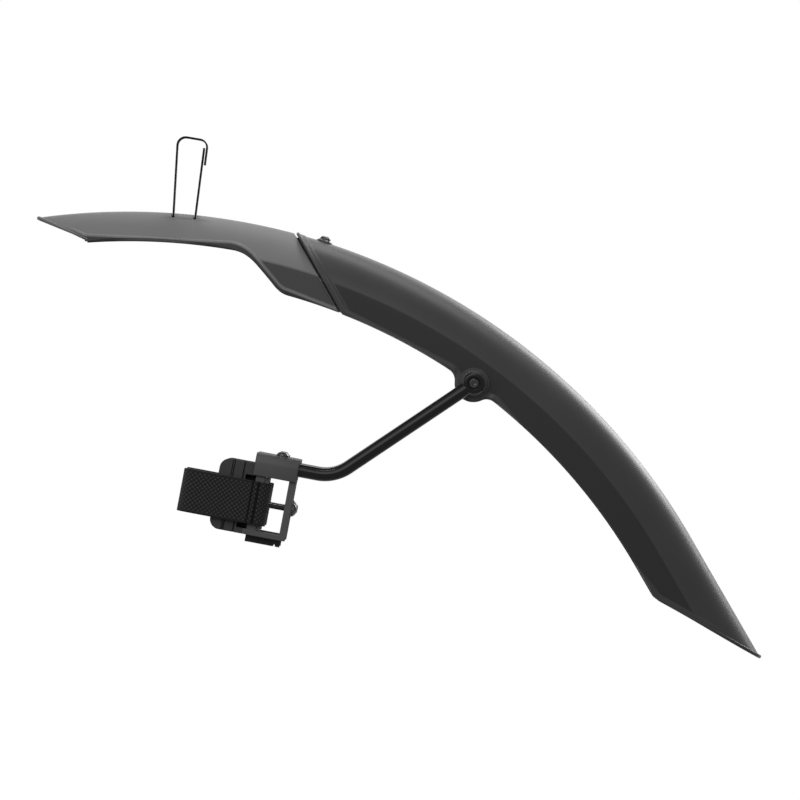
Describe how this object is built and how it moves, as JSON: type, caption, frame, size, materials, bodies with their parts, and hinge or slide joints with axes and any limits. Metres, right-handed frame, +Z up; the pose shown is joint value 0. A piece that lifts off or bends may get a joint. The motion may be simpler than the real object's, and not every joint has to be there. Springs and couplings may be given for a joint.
{
  "type": "clip-on bicycle mudguard",
  "caption": "Long rear mudguard in two telescoping arched sections, with a front strap loop and two swinging stays that end in strap clamps.",
  "frame": {"origin": "crown of the front blade, midway between the two slots of the front strap", "axes": "+X to the rear of the bicycle, along the guard; +Y to its right; +Z up"},
  "size_m": [0.5436, 0.1032, 0.3909],
  "materials": {
    "blade_rear": "moulded, fine grain",
    "blade_front": "moulded, fine grain",
    "stay_black": "glossy",
    "clamp_plastic": "moulded, satin",
    "black_steel": "black, glossy",
    "nylon": "natural black nylon",
    "liner_rubber": "matte",
    "strap_webbing": "woven tape",
    "front_tape": "hook-and-loop tape"
  },
  "bodies": {
    "rear_section": {"rear_blade": "blade_rear", "crown_screw": "black_steel", "crown_washer": "black_steel", "crown_backing_washer": "black_steel", "crown_nut": "black_steel", "pivot_bolt_left": "black_steel", "pivot_washer_left": "nylon", "pivot_backing_washer_left": "black_steel", "pivot_nut_left": "black_steel", "pivot_bolt_right": "black_steel", "pivot_washer_right": "nylon", "pivot_backing_washer_right": "black_steel", "pivot_nut_right": "black_steel"},
    "front_section": {"front_blade": "blade_front", "front_strap": "front_tape"},
    "stay_left": {"stay_left": "stay_black"},
    "clamp_left": {"clamp_frame_left": "clamp_plastic", "clamp_liner_left": "liner_rubber", "socket_screw_left": "black_steel"},
    "tension_screw_left": {"tension_screw_left": "black_steel"},
    "strap_left": {"clamp_strap_left": "strap_webbing", "tension_slider_left": "liner_rubber", "tension_nut_left": "black_steel"},
    "stay_right": {"stay_right": "stay_black"},
    "clamp_right": {"clamp_frame_right": "clamp_plastic", "clamp_liner_right": "liner_rubber", "socket_screw_right": "black_steel"},
    "tension_screw_right": {"tension_screw_right": "black_steel"},
    "strap_right": {"clamp_strap_right": "strap_webbing", "tension_slider_right": "liner_rubber", "tension_nut_right": "black_steel"}
  },
  "joints": [
    {"name": "section_slide", "type": "hinge", "parent": "rear_section", "child": "front_section", "pos_m": [-0.04283, 0, -0.48562], "axis": [0, -1, 0], "range_deg": [0, 4.11]},
    {"name": "stay_swing_left", "type": "hinge", "parent": "rear_section", "child": "stay_left", "pos_m": [0.2167, -0.04165, -0.12709], "axis": [0, 1, 0], "range_deg": [-19.5, 18.5]},
    {"name": "clamp_turn_left", "type": "hinge", "parent": "stay_left", "child": "clamp_left", "pos_m": [0.08619, -0.04165, -0.19202], "axis": [0.9826, 0, -0.1857], "range_deg": [-30, 30]},
    {"name": "screw_turn_left", "type": "hinge", "parent": "clamp_left", "child": "tension_screw_left", "pos_m": [0.08065, -0.04165, -0.22135], "axis": [-0.9826, 0, 0.1857], "range_deg": [0, 5040]},
    {"name": "strap_tension_left", "type": "slide", "parent": "clamp_left", "child": "strap_left", "axis": [0.9826, 0, -0.1857], "range_m": [0, 0.0098]},
    {"name": "stay_swing_right", "type": "hinge", "parent": "rear_section", "child": "stay_right", "pos_m": [0.2167, 0.04165, -0.12709], "axis": [0, 1, 0], "range_deg": [-19.5, 18.5]},
    {"name": "clamp_turn_right", "type": "hinge", "parent": "stay_right", "child": "clamp_right", "pos_m": [0.08619, 0.04165, -0.19202], "axis": [0.9826, 0, -0.1857], "range_deg": [-30, 30]},
    {"name": "screw_turn_right", "type": "hinge", "parent": "clamp_right", "child": "tension_screw_right", "pos_m": [0.08065, 0.04165, -0.22135], "axis": [-0.9826, 0, 0.1857], "range_deg": [0, 5040]},
    {"name": "strap_tension_right", "type": "slide", "parent": "clamp_right", "child": "strap_right", "axis": [0.9826, 0, -0.1857], "range_m": [0, 0.0098]}
  ],
  "couplings": [
    {"joint": "screw_turn_left", "follows": "strap_tension_left", "rad_per_m": 8976},
    {"joint": "screw_turn_right", "follows": "strap_tension_right", "rad_per_m": 8976}
  ]
}
